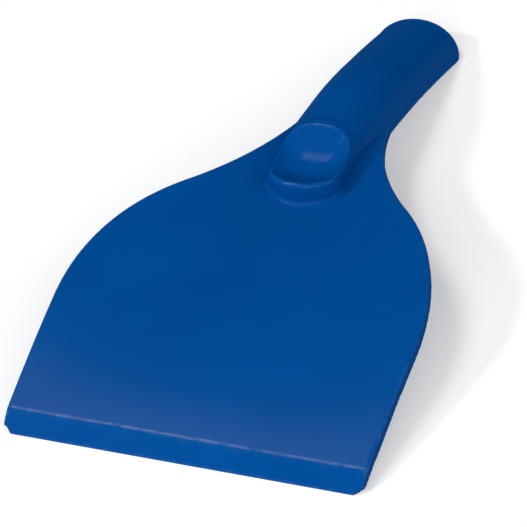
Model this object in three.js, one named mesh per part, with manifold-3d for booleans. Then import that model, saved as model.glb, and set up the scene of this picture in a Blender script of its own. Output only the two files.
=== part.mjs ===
// Windshield ice scraper: one blue plastic moulding, held like a trowel. A thin arched blade runs from a
// bevelled scraping edge over rounded shoulders to a hollow half-pipe grip, whose closed nose on the
// blade has a dish for the thumb. The scraper stands on its scraping edge and on the heel of its grip.
//
// Millimetres, +Z up. While the shapes are made, y = 0 is the scraping edge, y grows towards the heel and
// x = 0 is the middle. The moulding is made whole and then divided by flat planes across it into its five
// regions, one mesh each, which meet face to face.

import * as THREE from "three";
import { mergeVertices } from "three/addons/utils/BufferGeometryUtils.js";
import Module from "manifold-3d";

const wasm = await Module();
wasm.setup();

// Length and arch: the underside is one smooth arch from the scraping edge to the heel. The edge and the
// heel each have a flat land to stand on.
const undersideLength = 207.4;
const archHeight = 18.3;
const archPeakAt = 93.4;
const frontAngle = 17.2;
const heelAngle = 17;
const edgeLandLength = 0.4;
const heelLandLength = 3;

// Blade
const bladeThickness = 3.8;
const edgeHalfWidth = 59;
const sideFlareAngle = 1.3;
const shoulderStart = 46.5;
const shoulderRadius = 76.3;
const neckRadius = 75.9;
const frontCornerRadius = 2.6;
const topChamfer = 0.7;
const bladeHollow = 3.8;
const bladeHollowRun = 90;

// Scraping edge
const bevelLength = 5.5;
const edgeLipHeight = 0.8;

// Grip: a half pipe, open below
const gripWall = 3.2;
const gripNoseHalfWidth = 12.7;
const gripNeckHalfWidth = 14.7;
const gripNeckAt = 145;
const gripHeelHalfWidth = 15.4;
const gripNoseHeight = 10.9;
const gripTopHeight = 15;
const gripTopAt = 156.5;
const gripHeelHeight = 11;
const gripLegHeight = 0.5;
const neckInset = 0.6;
const heelLean = 5.4;
const heelLeanRun = 30;
const heelRound = 1.8;

// Nose of the grip. A fullness of 2 makes an elliptical section, and more makes fuller shoulders.
const noseFront = 101.5;
const noseLength = 10.3;
const noseFullness = 3;
const gripFullness = 2;

// Thumb dish: a ball's hollow in the top of the nose, with a low swell in the grip behind it
const dishRadius = 20;
const dishMiddle = 115.5;
const dishFloorHeight = 4.4;
const dishSwellHeight = 0.6;
const dishSwellAt = 131.5;
const dishSwellRun = 6;

// Planes that divide the moulding into its regions, and the length of the last region
const neckSeam = 97.3;
const gripSeam = 139.7;
const heelLength = 9;

// Steps of the faceted shapes
const bladeRowStep = 3.2;
const bladeColumns = 16;
const gripRowStep = 3.2;
const gripArcSteps = 22;
const noseSteps = 9;
const cornerSteps = 4;
const dishSteps = 56;
const sameVertex = 1e-4;

// Plastic: the thumb keeps the dish and the neck round it a little smoother than the rest
const plasticColour = 0x004c97;
const bladeRoughness = 0.48;
const dishRoughness = 0.42;

const radians = THREE.MathUtils.degToRad;
const noseFull = noseFront + noseLength;

// The cubic that leaves (y0, v0) with slope s0 and reaches (y1, v1) with slope s1, at y.
function ease(y, [y0, v0, s0], [y1, v1, s1]) {
  const run = y1 - y0;
  const t = (y - y0) / run;
  const rise = 3 * t * t - 2 * t * t * t;
  const leaving = t * (1 - t) * (1 - t) * run * s0;
  const arriving = t * t * (t - 1) * run * s1;
  return v0 + (v1 - v0) * rise + leaving + arriving;
}

// Height of the lower edge of the moulding above the table. Behind the edge's land it is straight under
// the bevel.
function underside(y) {
  const frontSlope = Math.tan(radians(frontAngle));
  const front = [bevelLength, (bevelLength - edgeLandLength) * frontSlope, frontSlope];
  const peak = [archPeakAt, archHeight, 0];
  const heel = [undersideLength - heelLandLength, 0, -Math.tan(radians(heelAngle))];
  if (y > heel[0]) return 0;
  if (y < bevelLength) return Math.max(0, y - edgeLandLength) * frontSlope;
  return y < archPeakAt ? ease(y, front, peak) : ease(y, peak, heel);
}

// Half width of the blade: a flared straight side, the shoulder's arc, then the neck's arc the other way,
// each tangent to the next. The neck's arc ends just inside the side of the grip.
function makeBladeOutline() {
  const flare = radians(sideFlareAngle);
  const shoulderHalfWidth = edgeHalfWidth + shoulderStart * Math.tan(flare);
  const shoulderX = shoulderHalfWidth - shoulderRadius * Math.cos(flare);
  const shoulderY = shoulderStart + shoulderRadius * Math.sin(flare);
  const neckHalfWidth = gripNeckHalfWidth - neckInset;
  const reach = shoulderRadius + neckRadius;
  const turn = Math.acos((neckHalfWidth + neckRadius - shoulderX) / reach);
  const neckX = shoulderX + reach * Math.cos(turn);
  const neckY = shoulderY + reach * Math.sin(turn);
  const bendAt = shoulderY + shoulderRadius * Math.sin(turn);
  const halfWidth = (y) => {
    if (y > bendAt) return neckX - Math.sqrt(neckRadius ** 2 - (y - neckY) ** 2);
    if (y > shoulderStart) return shoulderX + Math.sqrt(shoulderRadius ** 2 - (y - shoulderY) ** 2);
    const side = edgeHalfWidth + y * Math.tan(flare);
    if (y > frontCornerRadius) return side;
    return side - frontCornerRadius + Math.sqrt(frontCornerRadius ** 2 - (frontCornerRadius - y) ** 2);
  };
  return { halfWidth, end: neckY };
}

const blade = makeBladeOutline();

// How far the blade sags between its two sides: it is a little hollow across, like a scoop.
function sag(y) {
  const { smoothstep } = THREE.MathUtils;
  const fadeIn = smoothstep(y, bevelLength, bevelLength + bladeHollowRun);
  const fadeOut = 1 - smoothstep(y, noseFull, blade.end);
  return bladeHollow * fadeIn * fadeOut;
}

// Half width of the grip at its lower edge: narrow at the nose, wider at the neck and widest at the heel.
function gripHalfWidth(y) {
  const { lerp, smoothstep } = THREE.MathUtils;
  if (y < gripNeckAt) return lerp(gripNoseHalfWidth, gripNeckHalfWidth, smoothstep(y, noseFull, gripNeckAt));
  const share = (y - gripNeckAt) / (undersideLength - gripNeckAt);
  return lerp(gripNeckHalfWidth, gripHeelHalfWidth, Math.min(1, share));
}

// How full the shoulders of the grip's section are.
function sectionFullness(y) {
  const { lerp, smoothstep } = THREE.MathUtils;
  return lerp(noseFullness, gripFullness, smoothstep(y, noseFull, gripNeckAt));
}

// Height of the low swell in the grip's crest behind the thumb dish.
function dishSwell(y) {
  const away = Math.abs(y - dishSwellAt);
  return dishSwellHeight * (1 - THREE.MathUtils.smoothstep(away, 0, dishSwellRun));
}

// Height of the grip's crest above its lower edge.
function gripHeight(y) {
  const rise = (gripTopHeight - gripNoseHeight) / (gripTopAt - noseFull);
  const nose = [noseFull, gripNoseHeight, rise];
  const top = [gripTopAt, gripTopHeight, 0];
  const fall = (gripHeelHeight - gripTopHeight) / (undersideLength - gripTopAt);
  const heel = [undersideLength, gripHeelHeight, fall];
  if (y < noseFull) return gripNoseHeight;
  return y < gripTopAt ? ease(y, nose, top) + dishSwell(y) : ease(y, top, heel);
}

// Evenly spaced values from a to b, about one step apart, both ends included.
function spaced(a, b, step) {
  const count = Math.max(1, Math.round((b - a) / step));
  return Array.from({ length: count + 1 }, (_, i) => a + ((b - a) * i) / count);
}

// A closed surface through rings that all have the same number of points, with flat ends.
// Each ring lies across the scraper and runs anticlockwise as seen from the edge.
function loft(rings) {
  const count = rings[0].length;
  const last = (rings.length - 1) * count;
  const flat = (ring) => ring.map((p) => new THREE.Vector2(p.x, p.z));
  const firstEnd = THREE.ShapeUtils.triangulateShape(flat(rings[0]), []);
  const lastEnd = THREE.ShapeUtils.triangulateShape(flat(rings.at(-1)), []);
  const index = [];
  for (let r = 0; r < rings.length - 1; r += 1)
    for (let i = 0; i < count; i += 1) {
      const a = r * count + i;
      const b = r * count + ((i + 1) % count);
      index.push(a, a + count, b, b, a + count, b + count);
    }
  for (const [a, b, c] of firstEnd) index.push(a, b, c);
  for (const [a, b, c] of lastEnd) index.push(last + a, last + c, last + b);
  return new THREE.BufferGeometry().setFromPoints(rings.flat()).setIndex(index);
}

// A geometry as a manifold-3d solid.
function toSolid(geometry) {
  const bare = geometry.clone();
  bare.deleteAttribute("normal");
  bare.deleteAttribute("uv");
  const merged = mergeVertices(bare, sameVertex);
  return new wasm.Manifold(
    new wasm.Mesh({
      numProp: 3,
      vertProperties: new Float32Array(merged.attributes.position.array),
      triVerts: new Uint32Array(merged.index.array),
    }),
  );
}

// A manifold-3d solid as a geometry.
function toGeometry(solid) {
  const mesh = solid.getMesh();
  const geometry = new THREE.BufferGeometry();
  geometry.setAttribute("position", new THREE.BufferAttribute(new Float32Array(mesh.vertProperties), 3));
  geometry.setIndex(new THREE.BufferAttribute(new Uint32Array(mesh.triVerts), 1));
  geometry.computeVertexNormals();
  return geometry;
}

// Thickness of the blade at y. The bevel rises straight from the lip of the edge to the blade's top.
function bladeThicknessAt(y) {
  if (y > bevelLength) return bladeThickness;
  const top = underside(bevelLength) + bladeThickness;
  return THREE.MathUtils.lerp(edgeLipHeight, top, y / bevelLength) - underside(y);
}

// The ring of the blade at y: along the underside, up the right side, and back over the top. Its upper
// corners are chamfered, by less where the bevel makes the plate thin.
function bladeRing(y) {
  const width = blade.halfWidth(y);
  const thickness = bladeThicknessAt(y);
  const chamfer = Math.min(topChamfer, thickness / 4);
  const low = (x) => underside(y) - sag(y) * (1 - (x / width) ** 2);
  const across = spaced(-1, 1, 2 / bladeColumns);
  const bottom = across.map((s) => new THREE.Vector3(s * width, y, low(s * width)));
  const top = across
    .map((s) => s * (width - chamfer))
    .reverse()
    .map((x) => new THREE.Vector3(x, y, low(x) + thickness));
  const side = (s) => new THREE.Vector3(s * width, y, underside(y) + thickness - chamfer);
  return [...bottom, side(1), ...top, side(-1)];
}

// The blade with its bevelled scraping edge.
function makeBlade() {
  const corner = Array.from({ length: cornerSteps }, (_, i) =>
    frontCornerRadius * (1 - Math.cos((i / cornerSteps) * (Math.PI / 2))));
  const bevel = spaced(frontCornerRadius, bevelLength, bevelLength);
  const front = [...corner, edgeLandLength, ...bevel].sort((a, b) => a - b);
  const body = spaced(bevelLength, blade.end, bladeRowStep).slice(1);
  return loft([...front, ...body].map((y) => bladeRing(y)));
}

// The ring of a half pipe at y: its flat underside, its two upright legs, and the arch over the top. It
// leans towards the heel in its last stretch, so that the end of the grip is square to the grip's slope.
function archRing(y, halfWidth, height, low) {
  const share = THREE.MathUtils.clamp((y - undersideLength + heelLeanRun) / heelLeanRun, 0, 1);
  const lean = (heelLean * share) / gripHeelHeight;
  const leg = Math.min(gripLegHeight, height / 2);
  const place = (x, rise) => new THREE.Vector3(x, y + lean * Math.max(0, rise), underside(y) + rise);
  const power = 2 / sectionFullness(y);
  const arch = Array.from({ length: gripArcSteps + 1 }, (_, i) => {
    const angle = (Math.PI * i) / gripArcSteps;
    const across = Math.sign(Math.cos(angle)) * Math.abs(Math.cos(angle)) ** power;
    return place(halfWidth * across, leg + (height - leg) * Math.abs(Math.sin(angle)) ** power);
  });
  return [place(-halfWidth, -low), place(halfWidth, -low), ...arch];
}

// A half pipe with a rounded nose, inset all round from the outside of the grip.
function makeHalfPipe(inset, low, heelInset) {
  const rings = [];
  const length = noseLength - inset;
  for (let i = 1; i < noseSteps; i += 1) {
    const angle = (i / noseSteps) * (Math.PI / 2);
    const y = noseFull - length * Math.cos(angle);
    const width = (gripHalfWidth(y) - inset) * Math.sin(angle);
    const height = (gripHeight(y) - inset) * (1 - Math.cos(angle) ** noseFullness) ** (1 / noseFullness);
    rings.push(archRing(y, width, height, low));
  }
  const heel = undersideLength - heelInset - heelRound;
  for (const y of spaced(noseFull, heel, gripRowStep))
    rings.push(archRing(y, gripHalfWidth(y) - inset, gripHeight(y) - inset, low));
  for (let i = 1; i <= cornerSteps; i += 1) {
    const angle = (i / cornerSteps) * (Math.PI / 2);
    const y = heel + heelRound * Math.sin(angle);
    const trim = inset + heelRound * (1 - Math.cos(angle));
    rings.push(archRing(y, gripHalfWidth(y) - trim, gripHeight(y) - trim, low));
  }
  return loft(rings);
}

// The ball that hollows out the thumb dish, grown by a wall where the underside has to keep its distance.
function makeDish(wall) {
  const ball = new THREE.SphereGeometry(dishRadius + wall, dishSteps, dishSteps / 2);
  ball.rotateX(Math.PI / 2);
  ball.translate(0, dishMiddle, underside(dishMiddle) + dishFloorHeight + dishRadius);
  return ball;
}

// The whole moulding as one solid.
function makeMoulding() {
  const below = bladeHollow + bladeThickness;
  const outside = toSolid(makeBlade()).add(toSolid(makeHalfPipe(0, 0, 0)));
  const hollow = toSolid(makeHalfPipe(gripWall, below, gripWall)).subtract(toSolid(makeDish(gripWall)));
  return outside.subtract(hollow).subtract(toSolid(makeDish(0)));
}

// The stretch of the moulding between two planes across it.
function region(moulding, from, to) {
  const room = 4 * edgeHalfWidth;
  const box = new THREE.BoxGeometry(room, to - from, room);
  box.translate(0, (from + to) / 2, 0);
  return toGeometry(moulding.intersect(toSolid(box)));
}

function makeScraper() {
  const moulding = makeMoulding();
  const beforeEdge = -bevelLength;
  const heelSeam = undersideLength - heelLength;
  const beyondHeel = undersideLength + 2 * heelLean;
  const regions = [
    ["scraping_edge", beforeEdge, bevelLength, bladeRoughness],
    ["blade", bevelLength, neckSeam, bladeRoughness],
    ["thumb_rest_neck", neckSeam, gripSeam, dishRoughness],
    ["grip_shell", gripSeam, heelSeam, bladeRoughness],
    ["grip_heel", heelSeam, beyondHeel, bladeRoughness],
  ];
  const scraper = new THREE.Group();
  for (const [name, from, to, roughness] of regions) {
    const plastic = new THREE.MeshStandardMaterial({ color: plasticColour, roughness, metalness: 0 });
    const mesh = new THREE.Mesh(region(moulding, from, to), plastic);
    mesh.name = name;
    scraper.add(mesh);
  }
  return scraper;
}

// The finished scraper, with the origin under the middle of its length and width.
const scraper = makeScraper();
const extent = new THREE.Box3().setFromObject(scraper);
scraper.position.y = -(extent.min.y + extent.max.y) / 2;

export default scraper;
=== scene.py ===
"""Looks of a blue windshield ice scraper: one plastic moulding, shown as its five regions.

The blanks of the blade, the grip and the thumb dish are modelled from primitives with edit-mode
operators and modifiers, joined and remeshed. The moulding's soft forms, such as the fillet round
the nose and the rounded rims, are then settled on the blank in code, because no operator gives
them their true shape.
"""

import logging
import math
from collections.abc import Callable
from dataclasses import dataclass, field
from enum import Enum

import bpy
import numpy as np
from mathutils import Matrix, Vector


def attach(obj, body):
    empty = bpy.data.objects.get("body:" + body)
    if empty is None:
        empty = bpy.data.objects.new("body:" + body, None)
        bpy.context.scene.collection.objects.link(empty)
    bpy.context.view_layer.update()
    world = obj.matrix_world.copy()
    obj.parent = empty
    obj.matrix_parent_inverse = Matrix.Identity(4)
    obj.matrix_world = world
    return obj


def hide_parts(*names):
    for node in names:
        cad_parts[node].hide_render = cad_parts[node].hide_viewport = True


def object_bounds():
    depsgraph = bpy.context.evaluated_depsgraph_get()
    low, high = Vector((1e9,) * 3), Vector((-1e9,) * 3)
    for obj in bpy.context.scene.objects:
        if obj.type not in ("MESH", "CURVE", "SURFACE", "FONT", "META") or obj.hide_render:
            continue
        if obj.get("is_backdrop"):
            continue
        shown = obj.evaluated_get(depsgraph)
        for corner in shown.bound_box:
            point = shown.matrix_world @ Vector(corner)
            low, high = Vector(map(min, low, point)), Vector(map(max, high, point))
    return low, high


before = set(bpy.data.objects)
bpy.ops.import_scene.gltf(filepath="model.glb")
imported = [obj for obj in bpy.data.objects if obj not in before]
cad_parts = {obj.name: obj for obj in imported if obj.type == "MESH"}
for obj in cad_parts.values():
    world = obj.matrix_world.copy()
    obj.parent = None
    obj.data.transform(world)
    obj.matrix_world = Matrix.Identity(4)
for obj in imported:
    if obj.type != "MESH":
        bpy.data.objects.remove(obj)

MM = 0.001
PHOTO_SIDE = 527
SLOPE_STEP = 0.05
MIX_A, MIX_B, MIX_RESULT = 6, 7, 2

log = logging.getLogger("scraper")


def ease(
    at: np.ndarray,
    start: tuple[float, float, float],
    end: tuple[float, float, float],
) -> np.ndarray:
    """Gives the cubic that leaves one point and reaches another with given slopes.

    Args:
        at: Places along the run.
        start: Place, value and slope at the start.
        end: Place, value and slope at the end.

    Returns:
        The values of the cubic.
    """
    run = end[0] - start[0]
    t = (at - start[0]) / run
    rise = 3 * t**2 - 2 * t**3
    leaving = t * (1 - t) ** 2 * run * start[2]
    arriving = t**2 * (t - 1) * run * end[2]
    return start[1] + (end[1] - start[1]) * rise + leaving + arriving


def smooth(at: np.ndarray, start: float, end: float) -> np.ndarray:
    """Gives 0 before start, 1 after end, and a smooth step between them."""
    t = np.clip((at - start) / (end - start), 0.0, 1.0)
    return t * t * (3 - 2 * t)


def slope_of(rule: Callable[[np.ndarray], np.ndarray], at: np.ndarray) -> np.ndarray:
    """Gives the slope of a rule at each place, from its values a little to both sides."""
    return (rule(at + SLOPE_STEP) - rule(at - SLOPE_STEP)) / (2 * SLOPE_STEP)


def join_round(a: np.ndarray, b: np.ndarray, radius: np.ndarray | float) -> np.ndarray:
    """Joins two signed distances, with a fillet of the given radius between the surfaces."""
    near = np.hypot(np.maximum(radius - a, 0), np.maximum(radius - b, 0))
    return np.maximum(radius, np.minimum(a, b)) - near


def keep_round(a: np.ndarray, b: np.ndarray, radius: np.ndarray | float) -> np.ndarray:
    """Keeps what two signed distances share, with the edge between the surfaces rounded."""
    near = np.hypot(np.maximum(a + radius, 0), np.maximum(b + radius, 0))
    return np.minimum(-radius, np.maximum(a, b)) + near


@dataclass(frozen=True)
class Arch:
    """The underside's smooth arch from the scraping edge to the heel, in millimetres."""

    length: float = 207.4
    height: float = 18.3
    peak_at: float = 93.4
    front_angle: float = 17.2
    heel_angle: float = 17.0
    land: float = 3.0
    edge_land: float = 0.4
    bevel: float = 5.5

    def at(self, y: np.ndarray) -> np.ndarray:
        """Gives the height of the underside above the table.

        Args:
            y: Places behind the scraping edge.

        Returns:
            The heights.
        """
        slope = math.tan(math.radians(self.front_angle))
        front = (self.bevel, (self.bevel - self.edge_land) * slope, slope)
        peak = (self.peak_at, self.height, 0.0)
        heel = (self.length - self.land, 0.0, -math.tan(math.radians(self.heel_angle)))
        rising = ease(np.clip(y, self.bevel, self.peak_at), front, peak)
        falling = ease(np.clip(y, self.peak_at, heel[0]), peak, heel)
        arched = np.where(y < self.peak_at, rising, falling)
        return np.where(y < self.bevel, np.maximum(y - self.edge_land, 0) * slope, arched)


@dataclass(frozen=True)
class BladeForm:
    """The blade: its outline, its hollow across and its bevelled edge, in millimetres."""

    arch: Arch
    thickness: float = 3.8
    lip: float = 0.8
    bevel: float = 5.5
    edge_half_width: float = 59.0
    flare: float = 1.3
    shoulder_start: float = 46.5
    shoulder_radius: float = 76.3
    neck_radius: float = 75.9
    neck_half_width: float = 14.1
    corner_radius: float = 2.6
    hollow: float = 3.8
    hollow_run: float = 90.0
    nose_full: float = 111.8
    rim_radius: float = 0.9
    rim_least: float = 0.12
    crease_radius: float = 0.35
    lip_radius: float = 0.2

    def plan(self) -> tuple[float, float, float, float, float]:
        """Works out the two arcs of the blade's outline.

        Returns:
            The shoulder's centre, the neck's centre, and where the arcs meet along the blade.
        """
        flare = math.radians(self.flare)
        shoulder = self.edge_half_width + self.shoulder_start * math.tan(flare)
        shoulder_x = shoulder - self.shoulder_radius * math.cos(flare)
        shoulder_y = self.shoulder_start + self.shoulder_radius * math.sin(flare)
        reach = self.shoulder_radius + self.neck_radius
        turn = math.acos((self.neck_half_width + self.neck_radius - shoulder_x) / reach)
        neck_x = shoulder_x + reach * math.cos(turn)
        neck_y = shoulder_y + reach * math.sin(turn)
        bend = shoulder_y + self.shoulder_radius * math.sin(turn)
        return shoulder_x, shoulder_y, neck_x, neck_y, bend

    def half_width(self, y: np.ndarray) -> np.ndarray:
        """Gives half of the blade's width.

        Args:
            y: Places behind the scraping edge.

        Returns:
            The half widths.
        """
        shoulder_x, shoulder_y, neck_x, neck_y, bend = self.plan()
        side = self.edge_half_width + y * math.tan(math.radians(self.flare))
        corner = self.corner_radius
        short = np.clip(corner - y, 0, corner)
        side = side - corner + np.sqrt(corner**2 - short**2)
        off = np.clip(y - shoulder_y, -self.shoulder_radius, self.shoulder_radius)
        shoulder = shoulder_x + np.sqrt(self.shoulder_radius**2 - off**2)
        off = np.clip(neck_y - y, 0, self.neck_radius)
        neck = neck_x - np.sqrt(self.neck_radius**2 - off**2)
        return np.where(y > bend, neck, np.where(y > self.shoulder_start, shoulder, side))

    def low(self, x: np.ndarray, y: np.ndarray) -> np.ndarray:
        """Gives the height of the blade's underside, which sags between its two sides.

        Args:
            x: Places across the blade.
            y: Places behind the scraping edge.

        Returns:
            The heights.
        """
        end = self.plan()[3]
        sag = smooth(y, self.bevel, self.bevel + self.hollow_run)
        sag = self.hollow * sag * (1 - smooth(y, self.nose_full, end))
        share = np.clip((x / self.half_width(y)) ** 2, 0, 1)
        return self.arch.at(y) - sag * (1 - share)

    def below_height(self, place: np.ndarray, shift: float) -> np.ndarray:
        """Gives the distance above the underside, moved up by a height, along its own normal.

        Args:
            place: Points, one row each.
            shift: Height above the underside.

        Returns:
            Signed distances, positive above the moved surface.
        """
        x, y, z = place.T
        along = slope_of(lambda moved: self.low(x, moved), y)
        across = slope_of(lambda moved: self.low(moved, y), x)
        return (z - self.low(x, y) - shift) / np.sqrt(1 + along**2 + across**2)

    def distance(self, place: np.ndarray) -> np.ndarray:
        """Gives the distance to the blade's top, sides and edge, with nothing closing it below.

        Args:
            place: Points, one row each.

        Returns:
            Signed distances, positive outside.
        """
        x, y, z = place.T
        top = self.below_height(place, self.thickness)
        crease = float(self.arch.at(np.array(self.bevel))) + self.thickness
        slope = (crease - self.lip) / self.bevel
        bevel = (z - self.lip - slope * y) / math.hypot(1, slope)
        upper = keep_round(top, bevel, self.crease_radius)
        turn = np.where(y < self.corner_radius + SLOPE_STEP, 0, slope_of(self.half_width, y))
        side = (np.abs(x) - self.half_width(y)) / np.sqrt(1 + turn**2)
        share = np.clip(y / self.bevel, self.rim_least, 1)
        body = keep_round(upper, side, self.rim_radius * share)
        ends = np.maximum(-y, y - self.plan()[3])
        return keep_round(body, ends, self.lip_radius)


@dataclass(frozen=True)
class GripForm:
    """The half-pipe grip with its closed nose and heel, in millimetres."""

    arch: Arch
    wall: float = 3.2
    nose_half_width: float = 12.7
    neck_half_width: float = 14.7
    neck_at: float = 145.0
    heel_half_width: float = 15.4
    nose_height: float = 10.9
    top_height: float = 15.0
    top_at: float = 156.5
    heel_height: float = 11.0
    leg: float = 0.5
    lean: float = 5.4
    lean_run: float = 30.0
    lean_rounds: int = 5
    past_heel: float = 9.0
    heel_round: float = 1.8
    nose_front: float = 101.5
    nose_length: float = 10.3
    nose_fullness: float = 3.0
    fullness: float = 2.0
    swell: float = 0.6
    swell_middle: float = 117.5
    swell_start: float = 11.3
    swell_end: float = 16.5
    swell_full: float = 2.0
    far: float = 40.0

    @property
    def nose_full(self) -> float:
        """Where the nose reaches its full height."""
        return self.nose_front + self.nose_length

    def lean_at(self, y: np.ndarray) -> np.ndarray:
        """Gives how far the grip leans back for each millimetre of height."""
        share = np.clip((y - self.arch.length + self.lean_run) / self.lean_run, 0, 1)
        return self.lean * share / self.heel_height

    def half_width(self, y: np.ndarray) -> np.ndarray:
        """Gives half of the grip's width at its lower edge.

        Args:
            y: Places behind the scraping edge.

        Returns:
            The half widths.
        """
        share = smooth(y, self.nose_full, self.neck_at)
        front = self.nose_half_width + (self.neck_half_width - self.nose_half_width) * share
        share = np.clip((y - self.neck_at) / (self.arch.length - self.neck_at), 0, 1)
        back = self.neck_half_width + (self.heel_half_width - self.neck_half_width) * share
        return np.where(y < self.neck_at, front, back)

    def height(self, x: np.ndarray, y: np.ndarray) -> np.ndarray:
        """Gives the height of the crest above the lower edge.

        Args:
            x: Places across the grip.
            y: Places behind the scraping edge.

        Returns:
            The heights, with the low swell round the rear of the thumb dish.
        """
        full = self.nose_full
        rise = (self.top_height - self.nose_height) / (self.top_at - full)
        fall = (self.heel_height - self.top_height) / (self.arch.length - self.top_at)
        top = (self.top_at, self.top_height, 0.0)
        nose = (full, self.nose_height, rise)
        heel = (self.arch.length, self.heel_height, fall)
        away = np.hypot(x, y - self.swell_middle)
        swell = self.swell * (1 - smooth(away, self.swell_start, self.swell_end))
        swell = swell * smooth(y, full, self.swell_middle + self.swell_full)
        front = ease(np.clip(y, full, self.top_at), nose, top) + swell
        back = ease(np.clip(y, self.top_at, self.arch.length + self.past_heel), top, heel)
        return np.where(y < full, self.nose_height, np.where(y < self.top_at, front, back))

    def distance(self, place: np.ndarray, inset: float = 0.0) -> np.ndarray:
        """Gives the distance to the grip's skin, or to a skin inset from it.

        Args:
            place: Points, one row each.
            inset: How far inside the outer skin the surface lies.

        Returns:
            Signed distances, positive outside. The surface is open below.
        """
        x, y, z = place.T
        base = y
        for _ in range(self.lean_rounds):
            lean = self.lean_at(base)
            base = y - lean * np.maximum(0, z - self.arch.at(base))
        half = self.half_width(base) - inset
        height = self.height(x, base) - inset
        nose = self.nose_length - inset
        ahead = np.maximum(self.nose_full - base, 0) / nose
        fade = smooth(base, self.nose_full, self.neck_at)
        power = self.nose_fullness + (self.fullness - self.nose_fullness) * fade
        up = np.maximum(z - self.arch.at(base) - self.leg, 0) / (height - self.leg)
        around = np.sqrt((x / half) ** 2 + ahead**2) + 1e-9
        total = around**power + up**power
        level = total ** (1 / power)
        steep = total ** (1 / power - 1)
        by_around = steep * around ** (power - 1)
        by_up = steep * up ** (power - 1) / (height - self.leg)
        tilt = slope_of(self.arch.at, base)
        gone_x = by_around * x / (half**2 * around)
        gone_y = by_around * ahead / (nose * around) + by_up * tilt
        size = np.sqrt(gone_x**2 + gone_y**2 + by_up**2) + 1e-6
        skin = np.clip((level - 1) / size, -self.far, self.far)
        end = (base - self.arch.length + inset) / np.sqrt(1 + lean**2)
        return keep_round(skin, end, self.heel_round)


@dataclass(frozen=True)
class DishForm:
    """The thumb dish: a hollow floor with a front slope, side walls and a rear wall."""

    middle: float = 112.6
    floor: float = 21.5
    radius: float = 32.0
    slope_angle: float = 26.0
    slope_middle: float = 124.0
    slope_radius: float = 13.0
    slope_floor: float = 21.6
    slope_fillet: float = 0.6
    wall_angle: float = 50.0
    wall_side: float = 8.9
    wall_rear: float = 121.8
    wall_floor: float = 22.5
    wall_corner: float = 4.5
    wall_fillet: float = 3.0
    brow_radius: float = 1.3
    brow_end: float = 104.0
    rim_radius: float = 0.5
    rim_start: float = 113.0

    def distance(self, place: np.ndarray) -> np.ndarray:
        """Gives the distance to the dish's surface.

        Args:
            place: Points in millimetres, one row each.

        Returns:
            Signed distances, positive in the plastic below and beside the dish.
        """
        x, y, z = place.T
        slope, wall = math.radians(self.slope_angle), math.radians(self.wall_angle)
        away = np.hypot(x, y - self.slope_middle)
        front = away - self.slope_radius - (z - self.slope_floor) / math.tan(slope)
        lean = (z - self.wall_floor) / math.tan(wall)
        side = (np.abs(x) - self.wall_side - lean) * math.sin(wall)
        rear = (y - self.wall_rear - lean) * math.sin(wall)
        walls = keep_round(side, rear, self.wall_corner)
        floor = np.hypot(y - self.middle, z - self.floor - self.radius) - self.radius
        hollow = keep_round(floor, walls, self.wall_fillet)
        return keep_round(hollow, front * math.sin(slope), self.slope_fillet)

    def planes(self, grown: float) -> list[tuple[Vector, Vector]]:
        """Gives the planes that cut the dish's blank to its slope, its walls and their corners.

        Args:
            grown: How far the planes are moved outwards.

        Returns:
            A point on each plane, in metres, and the normal to the side that is kept.
        """
        cuts = []
        for turn in (-60, -30, 0, 30, 60):
            ahead = Vector((math.sin(math.radians(turn)), -math.cos(math.radians(turn)), 0))
            point = Vector((0, self.slope_middle, self.slope_floor)) + ahead * self.slope_radius
            cuts.append((point, ahead, self.slope_angle))
        for side in (-1, 1):
            point = Vector((side * self.wall_side, self.middle, self.wall_floor))
            cuts.append((point, Vector((side, 0, 0)), self.wall_angle))
        point = Vector((0, self.wall_rear, self.wall_floor))
        cuts.append((point, Vector((0, 1, 0)), self.wall_angle))
        inset = self.wall_corner * (2 - math.sqrt(2)) / 2 / math.sin(math.radians(self.wall_angle))
        for side in (-1, 1):
            corner = (side * (self.wall_side - inset), self.wall_rear - inset, self.wall_floor)
            cuts.append((Vector(corner), Vector((side, 1, 0)).normalized(), self.wall_angle))
        planes = []
        for point, ahead, angle in cuts:
            tilt = math.radians(angle)
            normal = Vector((0, 0, math.cos(tilt))) - ahead * math.sin(tilt)
            planes.append(((point - normal * grown) * MM, normal))
        return planes

    def edge(self, y: np.ndarray) -> np.ndarray:
        """Gives the radius of the dish's edge, from the soft brow to the crisper rim behind."""
        share = smooth(y, self.brow_end, self.rim_start)
        return self.brow_radius + (self.rim_radius - self.brow_radius) * share


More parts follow.
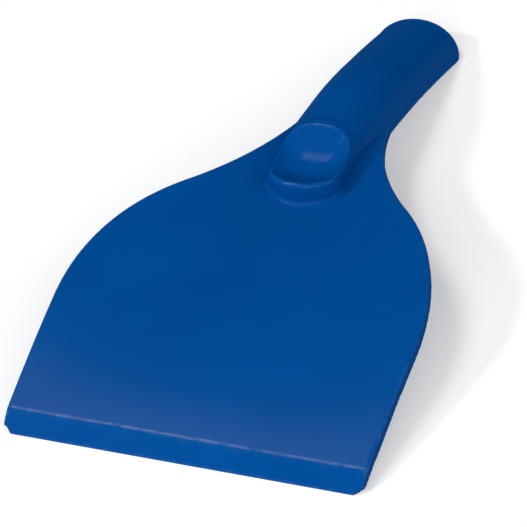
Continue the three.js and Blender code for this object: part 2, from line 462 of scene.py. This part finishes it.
@dataclass(frozen=True)
class Moulding:
    """The whole moulding as one distance, and the ways to settle a mesh on it."""

    blade: BladeForm
    grip: GripForm
    dish: DishForm
    fillet: float = 1.5
    fillet_end: float = 126.0
    neck_fillet: float = 0.4
    neck_fillet_start: float = 146.0
    foot_radius: float = 0.25
    foot_least: float = 0.4
    ceiling_radius: float = 1.0
    least_slope: float = 0.05

    def distance(self, place: np.ndarray) -> np.ndarray:
        """Gives the distance to the moulding's surface.

        Args:
            place: Points in millimetres, one row each, y from the scraping edge.

        Returns:
            Signed distances, positive outside the plastic.
        """
        y = place[:, 1]
        share = smooth(y, self.fillet_end, self.neck_fillet_start)
        fillet = self.fillet + (self.neck_fillet - self.fillet) * share
        upper = join_round(self.blade.distance(place), self.grip.distance(place), fillet)
        under = -self.blade.below_height(place, 0.0)
        foot = self.foot_radius * np.clip(y / self.blade.bevel, self.foot_least, 1)
        whole = keep_round(upper, under, foot)
        inner = self.grip.distance(place, self.grip.wall)
        dish = self.dish.distance(place)
        hollow = keep_round(inner, self.grip.wall - dish, self.ceiling_radius)
        open_below = keep_round(whole, -hollow, self.foot_radius)
        return keep_round(open_below, -dish, self.dish.edge(y))

    def slope(self, place: np.ndarray, step: float = 0.01) -> np.ndarray:
        """Gives the gradient of the distance at each point.

        Args:
            place: Points in millimetres, one row each.
            step: How far apart the distances are taken.

        Returns:
            The gradients, one row each.
        """
        steps = step * np.eye(3)
        parts = [self.distance(place + s) - self.distance(place - s) for s in steps]
        return np.stack(parts, axis=1) / (2 * step)

    def settle(self, place: np.ndarray, rounds: int = 5, reach: float = 0.7) -> np.ndarray:
        """Moves points along the gradient until they lie on the surface.

        Args:
            place: Points in millimetres, one row each.
            rounds: How many moves each point gets.
            reach: The longest single move.

        Returns:
            The settled points.
        """
        for _ in range(rounds):
            away = self.distance(place)
            slope = self.slope(place)
            steep = np.maximum((slope**2).sum(axis=1), self.least_slope)
            move = slope * (away / steep)[:, None]
            size = np.linalg.norm(move, axis=1, keepdims=True)
            place = place - move * np.minimum(1, reach / np.maximum(size, 1e-9))
        return place

    def normals(self, place: np.ndarray) -> np.ndarray:
        """Gives the outward unit normal at each point."""
        slope = self.slope(place)
        return slope / np.maximum(np.linalg.norm(slope, axis=1, keepdims=True), 1e-9)

    def bulge(self, place: np.ndarray, step: float = 0.35) -> np.ndarray:
        """Gives how sharply the surface turns.

        Args:
            place: Points in millimetres, one row each.
            step: How far round each point the distance is looked at.

        Returns:
            The turns, positive on ridges and negative in valleys.
        """
        steps = step * np.eye(3)
        around = sum(self.distance(place + s) + self.distance(place - s) for s in steps)
        return (around - 6 * self.distance(place)) / step**2


class Region(Enum):
    """The moulding's regions, with the planes that divide it, in millimetres."""

    SCRAPING_EDGE = ("scraping_edge", None, 5.5)
    BLADE = ("blade", 5.5, 97.3)
    THUMB_REST_NECK = ("thumb_rest_neck", 97.3, 139.7)
    GRIP_SHELL = ("grip_shell", 139.7, 198.4)
    GRIP_HEEL = ("grip_heel", 198.4, None)

    @property
    def node(self) -> str:
        """The name of the solid that the region's piece stands for."""
        return self.value[0]

    @property
    def planes(self) -> list[tuple[float, int]]:
        """Where each of the region's planes lies, and which way its kept side is."""
        return [(y, way) for y, way in zip(self.value[1:], (1, -1)) if y is not None]


def deselect_all() -> None:
    """Leaves no object selected."""
    if bpy.context.object and bpy.context.object.mode != "OBJECT":
        bpy.ops.object.mode_set(mode="OBJECT")
    bpy.ops.object.select_all(action="DESELECT")


def make_active(piece: bpy.types.Object) -> None:
    """Selects one object alone and makes it the active one.

    Args:
        piece: The object.
    """
    deselect_all()
    piece.select_set(True)
    bpy.context.view_layer.objects.active = piece


def take_primitive(name: str) -> bpy.types.Object:
    """Names the primitive that was just added, and applies its place to its mesh.

    Args:
        name: The primitive's name.

    Returns:
        The primitive, unturned and unscaled at the origin.
    """
    piece = bpy.context.object
    piece.name = name
    piece.data.name = name
    bpy.ops.object.transform_apply(location=True, rotation=True, scale=True)
    return piece


def apply_modifier(piece: bpy.types.Object, kind: str, **values: object) -> None:
    """Adds a modifier to a piece, sets its values and applies it.

    Args:
        piece: The piece to change.
        kind: The modifier's type.
        values: The modifier's values by name.
    """
    make_active(piece)
    modifier = piece.modifiers.new(kind.title(), kind)
    for key, value in values.items():
        setattr(modifier, key, value)
    bpy.ops.object.modifier_apply(modifier=modifier.name)


def cut_planes(
    piece: bpy.types.Object, planes: list[tuple[Vector, Vector]], clear: bool = True
) -> None:
    """Cuts a piece by planes, one after another.

    Args:
        piece: The piece to cut.
        planes: A point on each plane, in metres, and the normal to the side that is kept.
        clear: Whether the other side goes and the cut is closed, or both sides stay.
    """
    make_active(piece)
    bpy.ops.object.mode_set(mode="EDIT")
    for point, normal in planes:
        bpy.ops.mesh.select_all(action="SELECT")
        bpy.ops.mesh.bisect(plane_co=point, plane_no=normal, use_fill=clear, clear_inner=clear)
    bpy.ops.object.mode_set(mode="OBJECT")


def places(piece: bpy.types.Object) -> np.ndarray:
    """Gives the places of a piece's vertices.

    Args:
        piece: The piece.

    Returns:
        The places in millimetres, one row each.
    """
    flat = np.empty(3 * len(piece.data.vertices), np.float32)
    piece.data.vertices.foreach_get("co", flat)
    return flat.reshape(-1, 3).astype(float) / MM


def set_places(piece: bpy.types.Object, place: np.ndarray) -> None:
    """Moves a piece's vertices to places in millimetres."""
    piece.data.vertices.foreach_set("co", (place * MM).astype(np.float32).ravel())
    piece.data.update()


@dataclass(frozen=True)
class BladeBlank:
    """The plate that the blade is worked from: a grid, shaped row by row and thickened."""

    form: BladeForm
    rows: int = 53
    columns: int = 24

    def build(self) -> bpy.types.Object:
        """Adds a grid at the blade's size, gives it the outline and the arch, and thickens it.

        Returns:
            The closed plate, in the moulding's own frame.
        """
        end = self.form.plan()[3]
        middle = (0, end / 2 * MM, 0)
        bpy.ops.mesh.primitive_grid_add(
            x_subdivisions=self.columns, y_subdivisions=self.rows, size=1, location=middle
        )
        bpy.context.object.scale = (2 * MM, end * MM, 1)
        plate = take_primitive("blade_blank")
        place = places(plate)
        place[:, 0] *= self.form.half_width(place[:, 1])
        place[:, 2] = self.form.low(place[:, 0], place[:, 1])
        set_places(plate, place)
        self.thicken(plate)
        return plate

    def thicken(self, plate: bpy.types.Object) -> None:
        """Extrudes the sheet up to the blade's thickness, thinner towards the edge.

        Args:
            plate: The arched sheet.
        """
        make_active(plate)
        bpy.ops.object.mode_set(mode="EDIT")
        bpy.ops.mesh.select_all(action="SELECT")
        rise = {"value": (0, 0, self.form.thickness * MM)}
        bpy.ops.mesh.extrude_region_move(TRANSFORM_OT_translate=rise)
        bpy.ops.mesh.select_all(action="SELECT")
        bpy.ops.mesh.normals_make_consistent(inside=False)
        bpy.ops.object.mode_set(mode="OBJECT")
        place = places(plate)
        sheet = self.form.low(place[:, 0], place[:, 1])
        lack = (self.form.thickness - self.form.lip) * (1 - place[:, 1] / self.form.bevel)
        top = place[:, 2] > sheet + self.form.thickness / 2
        place[:, 2] -= np.where(top, np.clip(lack, 0, None), 0)
        set_places(plate, place)


@dataclass(frozen=True)
class GripBlank:
    """The half pipe that the grip is worked from: a cylinder, halved, stretched and swept."""

    form: GripForm
    facets: int = 48
    nose_rows: int = 14
    rows: int = 40

    def build(self, inset: float, below: float, name: str) -> bpy.types.Object:
        """Adds a cylinder along the grip, halves it and gives it the grip's sections.

        Args:
            inset: How far inside the outer skin the surface lies, in millimetres.
            below: How far it reaches below the underside, in millimetres.
            name: The blank's name.

        Returns:
            The closed half pipe, in the moulding's own frame.
        """
        front = self.form.nose_front + inset
        end = self.form.arch.length - inset
        bpy.ops.mesh.primitive_cylinder_add(
            vertices=self.facets,
            radius=MM,
            depth=(end - front) * MM,
            end_fill_type="NGON",
            location=(0, (front + end) / 2 * MM, 0),
            rotation=(math.radians(90), 0, 0),
        )
        pipe = take_primitive(name)
        cut_planes(pipe, [(Vector((0, 0, 0)), Vector((0, 0, 1)))])
        self.cut_rows(pipe, front, end)
        self.sweep(pipe, inset, below)
        return pipe

    def cut_rows(self, pipe: bpy.types.Object, front: float, end: float) -> None:
        """Cuts rings into the half pipe, close together in its nose.

        Args:
            pipe: The half cylinder.
            front: Where it starts, in millimetres.
            end: Where it ends, in millimetres.
        """
        full = self.form.nose_full
        turns = np.linspace(0.05, 1, self.nose_rows) * math.pi / 2
        nose = full - (full - front) * np.cos(turns)
        body = np.linspace(full, end, self.rows)[1:-1]
        rings = [(Vector((0, y * MM, 0)), Vector((0, 1, 0))) for y in (*nose, *body)]
        cut_planes(pipe, rings, clear=False)

    def sweep(self, pipe: bpy.types.Object, inset: float, below: float) -> None:
        """Gives each ring its width and height, and lays it along the arch.

        Args:
            pipe: The half cylinder with its rings, 1 mm in radius.
            inset: How far inside the outer skin the surface lies, in millimetres.
            below: How far it reaches below the underside, in millimetres.
        """
        place = places(pipe)
        x, y, z = place.T
        power = self.form.nose_fullness
        ahead = (self.form.nose_full - y) / (self.form.nose_length - inset)
        ahead = np.clip(ahead, 0, 0.9995)
        wide = (self.form.half_width(y) - inset) * np.sqrt(1 - ahead**2)
        tall = (self.form.height(x, y) - inset) * (1 - ahead**power) ** (1 / power)
        base = self.form.arch.at(y)
        flat = z < 1e-4
        rise = np.where(flat, -below, z * tall)
        lean = self.form.lean_at(y) * np.maximum(rise, 0)
        set_places(pipe, np.stack([x * wide, y + lean, base + rise], axis=1))


@dataclass
class ScraperBody:
    """The blue moulding: its blank, its settled surface and its five pieces, in millimetres.

    The shift brings the scraping edge to its place in the frame. The box holds the lowest and the
    highest corner of the solids before that shift.
    """

    shift: float
    box: np.ndarray
    arch: Arch = field(default_factory=Arch)
    voxel: float = 0.52
    quick_voxel: float = 0.9
    dish_facets: int = 128
    even_rounds: int = 2
    even_share: float = 0.5
    full_turn: float = 2.0
    pieces: list[bpy.types.Object] = field(default_factory=list)

    def __post_init__(self) -> None:
        """Builds the forms that share the arch."""
        self.blade = BladeForm(self.arch)
        self.grip = GripForm(self.arch)
        self.dish = DishForm()
        self.moulding = Moulding(self.blade, self.grip, self.dish)

    def build_blank(self) -> bpy.types.Object:
        """Models the blade and the grip, joins them, cuts the hollow and the dish, and remeshes.

        Returns:
            The moulding's blank, as one closed mesh with even faces.
        """
        plate = BladeBlank(self.blade).build()
        outer = GripBlank(self.grip).build(0.0, 0.0, "grip_blank")
        below = self.blade.hollow + self.blade.thickness
        core = GripBlank(self.grip).build(self.grip.wall, below, "hollow_core")
        dish = self.dish
        centre = (0, dish.middle * MM, (dish.floor + dish.radius) * MM)
        hollows = []
        for name, grown in (("dish_hollow", 0.0), ("dish_wall_hollow", self.grip.wall)):
            bpy.ops.mesh.primitive_cylinder_add(
                vertices=self.dish_facets,
                radius=(dish.radius + grown) * MM,
                depth=4 * dish.wall_side * MM,
                location=centre,
                rotation=(0, math.radians(90), 0),
            )
            hollow = take_primitive(name)
            cut_planes(hollow, dish.planes(grown))
            hollows.append(hollow)
        self.combine(plate, outer, "UNION")
        self.combine(core, hollows[1], "DIFFERENCE")
        self.combine(plate, core, "DIFFERENCE")
        self.combine(plate, hollows[0], "DIFFERENCE")
        voxel = self.voxel
        apply_modifier(plate, "REMESH", mode="VOXEL", voxel_size=voxel * MM)
        return plate

    def combine(self, piece: bpy.types.Object, tool: bpy.types.Object, how: str) -> None:
        """Joins or cuts a piece with a tool, and removes the tool."""
        apply_modifier(piece, "BOOLEAN", object=tool, operation=how, solver="EXACT")
        bpy.data.objects.remove(tool)

    def settle(self, blank: bpy.types.Object) -> None:
        """Settles the blank on the moulding's surface, inside its box, with its faces kept even.

        Args:
            blank: The remeshed blank.
        """
        mesh = blank.data
        ends = np.empty(2 * len(mesh.edges), np.int32)
        mesh.edges.foreach_get("vertices", ends)
        ends = ends.reshape(-1, 2)
        count = len(mesh.vertices)
        degree = np.bincount(ends.ravel(), minlength=count)[:, None]
        place = self.moulding.settle(places(blank))
        for _ in range(self.even_rounds):
            total = np.zeros_like(place)
            for a, b in ((0, 1), (1, 0)):
                for axis in range(3):
                    values = place[ends[:, b], axis]
                    total[:, axis] += np.bincount(ends[:, a], values, minlength=count)
            evened = place + self.even_share * (total / degree - place)
            place = self.moulding.settle(evened, rounds=1)
        set_places(blank, np.clip(place, self.box[0], self.box[1]))

    def divide(self, blank: bpy.types.Object) -> None:
        """Divides the settled moulding by the planes between its regions.

        Args:
            blank: The settled blank, which is removed.
        """
        for region in Region:
            piece = blank.copy()
            piece.data = blank.data.copy()
            piece.name = piece.data.name = region.node + "_moulded"
            bpy.context.collection.objects.link(piece)
            cuts = [(Vector((0, y * MM, 0)), Vector((0, way, 0))) for y, way in region.planes]
            cut_planes(piece, cuts)
            self.pieces.append(piece)
        bpy.data.objects.remove(blank)

    def finish_piece(self, piece: bpy.types.Object, region: Region) -> None:
        """Gives a piece the moulding's own normals and wear, and moves it to its place.

        Args:
            piece: The piece of one region.
            region: The region that it shows.
        """
        mesh = piece.data
        place = places(piece)
        normals = self.moulding.normals(place)
        mesh.polygons.foreach_set("use_smooth", np.ones(len(mesh.polygons), bool))
        corners = np.empty(len(mesh.loops), np.int32)
        mesh.loops.foreach_get("vertex_index", corners)
        at_corners = normals[corners]
        for polygon in mesh.polygons:
            if abs(polygon.normal.y) < 0.999:
                continue
            ys = place[corners[list(polygon.loop_indices)], 1]
            if any(np.abs(ys - y).max() < 1e-3 for y, _ in region.planes):
                at_corners[list(polygon.loop_indices)] = polygon.normal
        wear = self.moulding.bulge(place) / self.full_turn
        wear = np.clip(wear, -1, 1).astype(np.float32)
        mesh.attributes.new("turn", "FLOAT", "POINT").data.foreach_set("value", wear)
        mesh.transform(Matrix.Translation((0, self.shift * MM, 0)))
        mesh.normals_split_custom_set(at_corners)
        mesh.update()

    def build(self, material: bpy.types.Material) -> None:
        """Builds the five pieces with their material and body, and hides the solids they stand for.

        Args:
            material: The plastic.
        """
        blank = self.build_blank()
        log.info("blank: %d faces", len(blank.data.polygons))
        self.settle(blank)
        self.divide(blank)
        for piece, region in zip(self.pieces, Region):
            self.finish_piece(piece, region)
            piece.data.materials.clear()
            piece.data.materials.append(material)
            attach(piece, "root")
            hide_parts(region.node)
            faces = sum(len(p.vertices) - 2 for p in piece.data.polygons)
            log.info("%s: %d triangles", piece.name, faces)


def add_socket(
    group: bpy.types.NodeTree, name: str, way: str, kind: str, value: float | None = None
) -> None:
    """Adds a named socket to a shader node group.

    Args:
        group: The node group.
        name: The socket's name.
        way: INPUT or OUTPUT.
        kind: The socket's type.
        value: The socket's default, if it has one.
    """
    socket = group.interface.new_socket(name=name, in_out=way, socket_type=kind)
    if value is not None:
        socket.default_value = value


class NodeBench:
    """A node tree that is being wired."""

    def __init__(self, tree: bpy.types.NodeTree) -> None:
        """Takes a tree and empties it."""
        self.tree = tree
        tree.nodes.clear()

    def add(self, kind: str, **values: object) -> bpy.types.Node:
        """Adds a node and sets its properties, and its inputs where a name has an input.

        Args:
            kind: The node's type.
            values: Properties and inputs by name, with spaces written as underscores.

        Returns:
            The node.
        """
        node = self.tree.nodes.new(kind)
        for key, value in values.items():
            name = key.replace("_", " ")
            sockets = {s.name.lower(): s for s in reversed(node.inputs) if s.enabled}
            if hasattr(node, key):
                setattr(node, key, value)
            else:
                sockets[name.lower()].default_value = value
        return node

    def link(self, start: bpy.types.NodeSocket, end: bpy.types.NodeSocket) -> None:
        """Links an output to an input."""
        self.tree.links.new(start, end)

    def math(self, how: str, *values: bpy.types.NodeSocket | float) -> bpy.types.NodeSocket:
        """Adds a Math node over sockets and numbers.

        Args:
            how: The node's operation.
            values: What it works on, in order.

        Returns:
            The node's output.
        """
        node = self.tree.nodes.new("ShaderNodeMath")
        node.operation = how
        for socket, value in zip(node.inputs, values):
            if isinstance(value, (int, float)):
                socket.default_value = value
            else:
                self.link(value, socket)
        return node.outputs[0]

    def over(self, value: bpy.types.NodeSocket, level: float, gain: float) -> bpy.types.NodeSocket:
        """Adds a mask that rises from 0 at a level to 1.

        Args:
            value: What is masked.
            level: Where the mask starts to rise.
            gain: How fast it rises.

        Returns:
            The mask.
        """
        mask = self.math("MULTIPLY", self.math("SUBTRACT", value, level), gain)
        mask.node.use_clamp = True
        return mask


@dataclass(frozen=True)
class SparkErodedGrain:
    """The shared group for a finely spark-eroded mould surface."""

    coarse_pitch: float = 900.0
    fine_pitch: float = 2600.0
    fine_share: float = 0.6
    speck_level: float = 0.62
    speck_gain: float = 9.0

    def make(self) -> bpy.types.NodeTree:
        """Builds the group.

        Returns:
            The group, which puts out a height and a mask of bright specks.
        """
        group = bpy.data.node_groups.new("SparkErodedGrain", "ShaderNodeTree")
        add_socket(group, "Vector", "INPUT", "NodeSocketVector")
        add_socket(group, "Size", "INPUT", "NodeSocketFloat", 1.0)
        add_socket(group, "Height", "OUTPUT", "NodeSocketFloat")
        add_socket(group, "Specks", "OUTPUT", "NodeSocketFloat")
        bench = NodeBench(group)
        inputs = bench.add("NodeGroupInput")
        outputs = bench.add("NodeGroupOutput")
        coarse = bench.add("ShaderNodeTexNoise", detail=3.0, roughness=0.6)
        fine = bench.add("ShaderNodeTexNoise", detail=2.0, roughness=0.7)
        for noise, pitch in ((coarse, self.coarse_pitch), (fine, self.fine_pitch)):
            scale = bench.math("MULTIPLY", inputs.outputs["Size"], pitch)
            bench.link(inputs.outputs["Vector"], noise.inputs["Vector"])
            bench.link(scale, noise.inputs["Scale"])
        both = bench.math("MULTIPLY", fine.outputs[0], self.fine_share)
        both = bench.math("ADD", both, coarse.outputs[0])
        bench.link(both, outputs.inputs["Height"])
        specks = bench.over(fine.outputs[0], self.speck_level, self.speck_gain)
        bench.link(specks, outputs.inputs["Specks"])
        return group


@dataclass(frozen=True)
class RubbedRidges:
    """The shared group for ridges that are rubbed in patches."""

    patch_pitch: float = 420.0
    patch_level: float = 0.38
    patch_gain: float = 4.0
    ridge_level: float = 0.12
    ridge_gain: float = 2.2

    def make(self) -> bpy.types.NodeTree:
        """Builds the group.

        Returns:
            The group, which puts out a mask of rubbed ridges.
        """
        group = bpy.data.node_groups.new("RubbedRidges", "ShaderNodeTree")
        add_socket(group, "Vector", "INPUT", "NodeSocketVector")
        add_socket(group, "Turn", "INPUT", "NodeSocketFloat", 0.0)
        add_socket(group, "Mask", "OUTPUT", "NodeSocketFloat")
        bench = NodeBench(group)
        inputs = bench.add("NodeGroupInput")
        outputs = bench.add("NodeGroupOutput")
        patchy = bench.add("ShaderNodeTexNoise", scale=self.patch_pitch, detail=4.0, roughness=0.65)
        bench.link(inputs.outputs["Vector"], patchy.inputs["Vector"])
        spots = bench.over(patchy.outputs[0], self.patch_level, self.patch_gain)
        ridge = bench.over(inputs.outputs["Turn"], self.ridge_level, self.ridge_gain)
        bench.link(bench.math("MULTIPLY", ridge, spots), outputs.inputs["Mask"])
        return group


@dataclass(frozen=True)
class BluePlastic:
    """Satin blue plastic with a fine grain, lightly rubbed on its ridges.

    The gloss is a thin coat, weaker where it is seen at a grazing angle, and stronger in the
    grain's bright specks and on the rubbed ridges.
    """

    name: str = "blue_plastic"
    colour: tuple[float, float, float] = (0.0004, 0.0765, 0.325)
    rubbed: tuple[float, float, float] = (0.012, 0.125, 0.42)
    rubbed_share: float = 0.35
    roughness: float = 0.6
    speck_roughness: float = -0.12
    patch_roughness: float = 0.1
    patch_pitch: float = 38.0
    dim_tint: tuple[float, float, float] = (0.94, 0.94, 0.95)
    bright_tint: tuple[float, float, float] = (1.03, 1.03, 1.02)
    gloss: float = 0.09
    speck_gloss: float = 0.27
    gloss_roughness: float = 0.19
    polish: float = 0.45
    grain_height: float = 0.05
    grain_strength: float = 0.5

    def make(self) -> bpy.types.Material:
        """Builds the material on object coordinates.

        Returns:
            The material.
        """
        material = bpy.data.materials.new(self.name)
        material.use_nodes = True
        bench = NodeBench(material.node_tree)
        output = bench.add("ShaderNodeOutputMaterial")
        plastic = bench.add("ShaderNodeBsdfPrincipled")
        plastic.inputs["Specular IOR Level"].default_value = 0.0
        plastic.inputs["Coat Roughness"].default_value = self.gloss_roughness
        place = bench.add("ShaderNodeTexCoord").outputs["Object"]
        grain = bench.add("ShaderNodeGroup")
        grain.node_tree = SparkErodedGrain().make()
        bench.link(place, grain.inputs["Vector"])
        wear = bench.add("ShaderNodeGroup")
        wear.node_tree = RubbedRidges().make()
        turn = bench.add("ShaderNodeAttribute", attribute_name="turn")
        bench.link(place, wear.inputs["Vector"])
        bench.link(turn.outputs["Fac"], wear.inputs["Turn"])
        cloud = bench.add("ShaderNodeTexNoise", scale=self.patch_pitch, detail=3.0)
        bench.link(place, cloud.inputs["Vector"])
        shade = bench.add("ShaderNodeMix", data_type="RGBA", blend_type="MULTIPLY")
        shade.inputs[0].default_value = 1.0
        shade.inputs[MIX_A].default_value = (*self.colour, 1)
        tint = bench.add("ShaderNodeValToRGB")
        stops = ((0.3, self.dim_tint), (0.7, self.bright_tint))
        for stop, (position, colour) in zip(tint.color_ramp.elements, stops):
            stop.position = position
            stop.color = (*colour, 1)
        bench.link(cloud.outputs[0], tint.inputs[0])
        bench.link(tint.outputs[0], shade.inputs[MIX_B])
        rubbed = bench.add("ShaderNodeMix", data_type="RGBA")
        rubbed.inputs[MIX_B].default_value = (*self.rubbed, 1)
        share = bench.math("MULTIPLY", wear.outputs["Mask"], self.rubbed_share)
        bench.link(share, rubbed.inputs[0])
        bench.link(shade.outputs[MIX_RESULT], rubbed.inputs[MIX_A])
        bench.link(rubbed.outputs[MIX_RESULT], plastic.inputs["Base Color"])
        rough = bench.math("MULTIPLY", grain.outputs["Specks"], self.speck_roughness)
        rough = bench.math("ADD", rough, self.roughness)
        patches = bench.math("MULTIPLY", cloud.outputs[0], self.patch_roughness)
        bench.link(bench.math("ADD", rough, patches), plastic.inputs["Roughness"])
        gloss = bench.math("MULTIPLY", grain.outputs["Specks"], self.speck_gloss)
        gloss = bench.math("ADD", gloss, self.gloss)
        polish = bench.math("MULTIPLY", wear.outputs["Mask"], self.polish)
        gloss = bench.math("ADD", gloss, polish)
        facing = bench.add("ShaderNodeLayerWeight", blend=0.5).outputs["Facing"]
        facing = bench.math("SUBTRACT", 1.0, facing)
        bench.link(bench.math("MULTIPLY", gloss, facing), plastic.inputs["Coat Weight"])
        deep = self.grain_height * MM
        bump = bench.add("ShaderNodeBump", strength=self.grain_strength, distance=deep)
        bench.link(grain.outputs["Height"], bump.inputs["Height"])
        bench.link(bump.outputs[0], plastic.inputs["Normal"])
        bench.link(plastic.outputs[0], output.inputs["Surface"])
        return material


@dataclass(frozen=True)
class Lamp:
    """A broad soft lamp, far away: where it stands, how strong and how wide it is."""

    name: str
    towards: tuple[float, float, float]
    strength: float
    angle: float

    def add(self) -> None:
        """Adds the lamp, shining from its side of the sky to the scraper."""
        light = bpy.data.lights.new(self.name, "SUN")
        light.energy = self.strength * math.pi
        light.angle = math.radians(self.angle)
        lamp = bpy.data.objects.new(self.name, light)
        lamp.rotation_euler = Vector(self.towards).to_track_quat("Z", "Y").to_euler()
        bpy.context.collection.objects.link(lamp)


@dataclass(frozen=True)
class Studio:
    """A pale floor under a plain soft light. The floor glows a little, to the camera alone."""

    floor_side: float = 6.0
    floor_tone: float = 0.8
    floor_glow: float = 0.38
    lamps: tuple[Lamp, ...] = (
        Lamp("front_softbox", (0.15, -0.85, 0.50), 0.50, 50.0),
        Lamp("key_lamp", (-0.407, 0.0, 0.914), 0.30, 22.0),
        Lamp("right_softbox", (0.866, 0.0, 0.50), 0.24, 50.0),
        Lamp("glint_lamp", (-0.62, -0.50, 0.60), 0.28, 6.0),
    )

    def build(self) -> None:
        """Adds the floor, the sky and the lamps."""
        self.add_floor()
        self.add_sky()
        for lamp in self.lamps:
            lamp.add()
        bpy.context.scene.view_settings.view_transform = "Standard"

    def add_floor(self) -> None:
        """Adds the floor, white to the camera where it is lit, and darker in the shadow."""
        deselect_all()
        bpy.ops.mesh.primitive_plane_add(size=self.floor_side)
        floor = take_primitive("floor")
        material = bpy.data.materials.new("white_floor")
        material.use_nodes = True
        bench = NodeBench(material.node_tree)
        output = bench.add("ShaderNodeOutputMaterial")
        paint = bench.add("ShaderNodeBsdfDiffuse")
        paint.inputs["Color"].default_value = (*(self.floor_tone,) * 3, 1)
        glow = bench.add("ShaderNodeEmission")
        both = bench.add("ShaderNodeAddShader")
        seen = bench.add("ShaderNodeLightPath").outputs["Is Camera Ray"]
        bench.link(bench.math("MULTIPLY", seen, self.floor_glow), glow.inputs["Strength"])
        bench.link(paint.outputs[0], both.inputs[0])
        bench.link(glow.outputs[0], both.inputs[1])
        bench.link(both.outputs[0], output.inputs["Surface"])
        floor.data.materials.append(material)
        floor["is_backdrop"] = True

    def add_sky(self) -> None:
        """Adds an even sky, which is white to the camera and gives no light."""
        world = bpy.data.worlds.new("sky")
        world.use_nodes = True
        bench = NodeBench(world.node_tree)
        output = bench.add("ShaderNodeOutputWorld")
        back = bench.add("ShaderNodeBackground")
        back.inputs["Color"].default_value = (1, 1, 1, 1)
        seen = bench.add("ShaderNodeLightPath").outputs["Is Camera Ray"]
        bench.link(seen, back.inputs["Strength"])
        bench.link(back.outputs[0], output.inputs["Surface"])
        bpy.context.scene.world = world


@dataclass(frozen=True)
class PhotoCamera:
    """The camera of the photograph, worked out from the scraper's outline."""

    shift: float
    focal: float = 3137.18
    distance: float = 995.65
    down: float = 39.2485
    swing: float = 29.4378
    roll: float = -11.0337
    aim_x: float = -9.9924
    aim_y: float = 91.4823
    film: float = 36.0

    def build(self) -> None:
        """Adds the camera and makes it the scene's."""
        down, swing, roll = (math.radians(a) for a in (self.down, self.swing, self.roll))
        level = Vector((math.cos(swing), math.sin(swing), 0))
        ahead = Vector((-math.sin(swing), math.cos(swing), 0))
        up = Vector((0, 0, 1))
        look = ahead * math.cos(down) - up * math.sin(down)
        over = ahead * math.sin(down) + up * math.cos(down)
        right = level * math.cos(roll) + over * math.sin(roll)
        above = over * math.cos(roll) - level * math.sin(roll)
        eye = Vector((self.aim_x, self.aim_y + self.shift, 0)) - look * self.distance
        lens = bpy.data.cameras.new("photo_camera")
        lens.sensor_width = self.film
        lens.lens = self.focal / PHOTO_SIDE * self.film
        camera = bpy.data.objects.new("photo_camera", lens)
        turn = Matrix((right, above, -look)).transposed().to_4x4()
        camera.matrix_world = Matrix.Translation(eye * MM) @ turn
        bpy.context.collection.objects.link(camera)
        bpy.context.scene.camera = camera


def plain_box() -> list[list[float]]:
    """Gives the shown object's lowest and highest corners as plain lists."""
    return [list(corner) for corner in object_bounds()]


def main() -> None:
    """Builds the scraper inside the solids' box, and the studio and the camera."""
    logging.basicConfig(level=logging.INFO, format="%(name)s: %(message)s")
    cad_box = plain_box()
    shift = cad_box[0][1] / MM
    material = BluePlastic().make()
    box = np.array(cad_box) / MM - (0, shift, 0)
    ScraperBody(shift, box).build(material)
    Studio().build()
    PhotoCamera(shift).build()


if __name__ == "__main__":
    main()
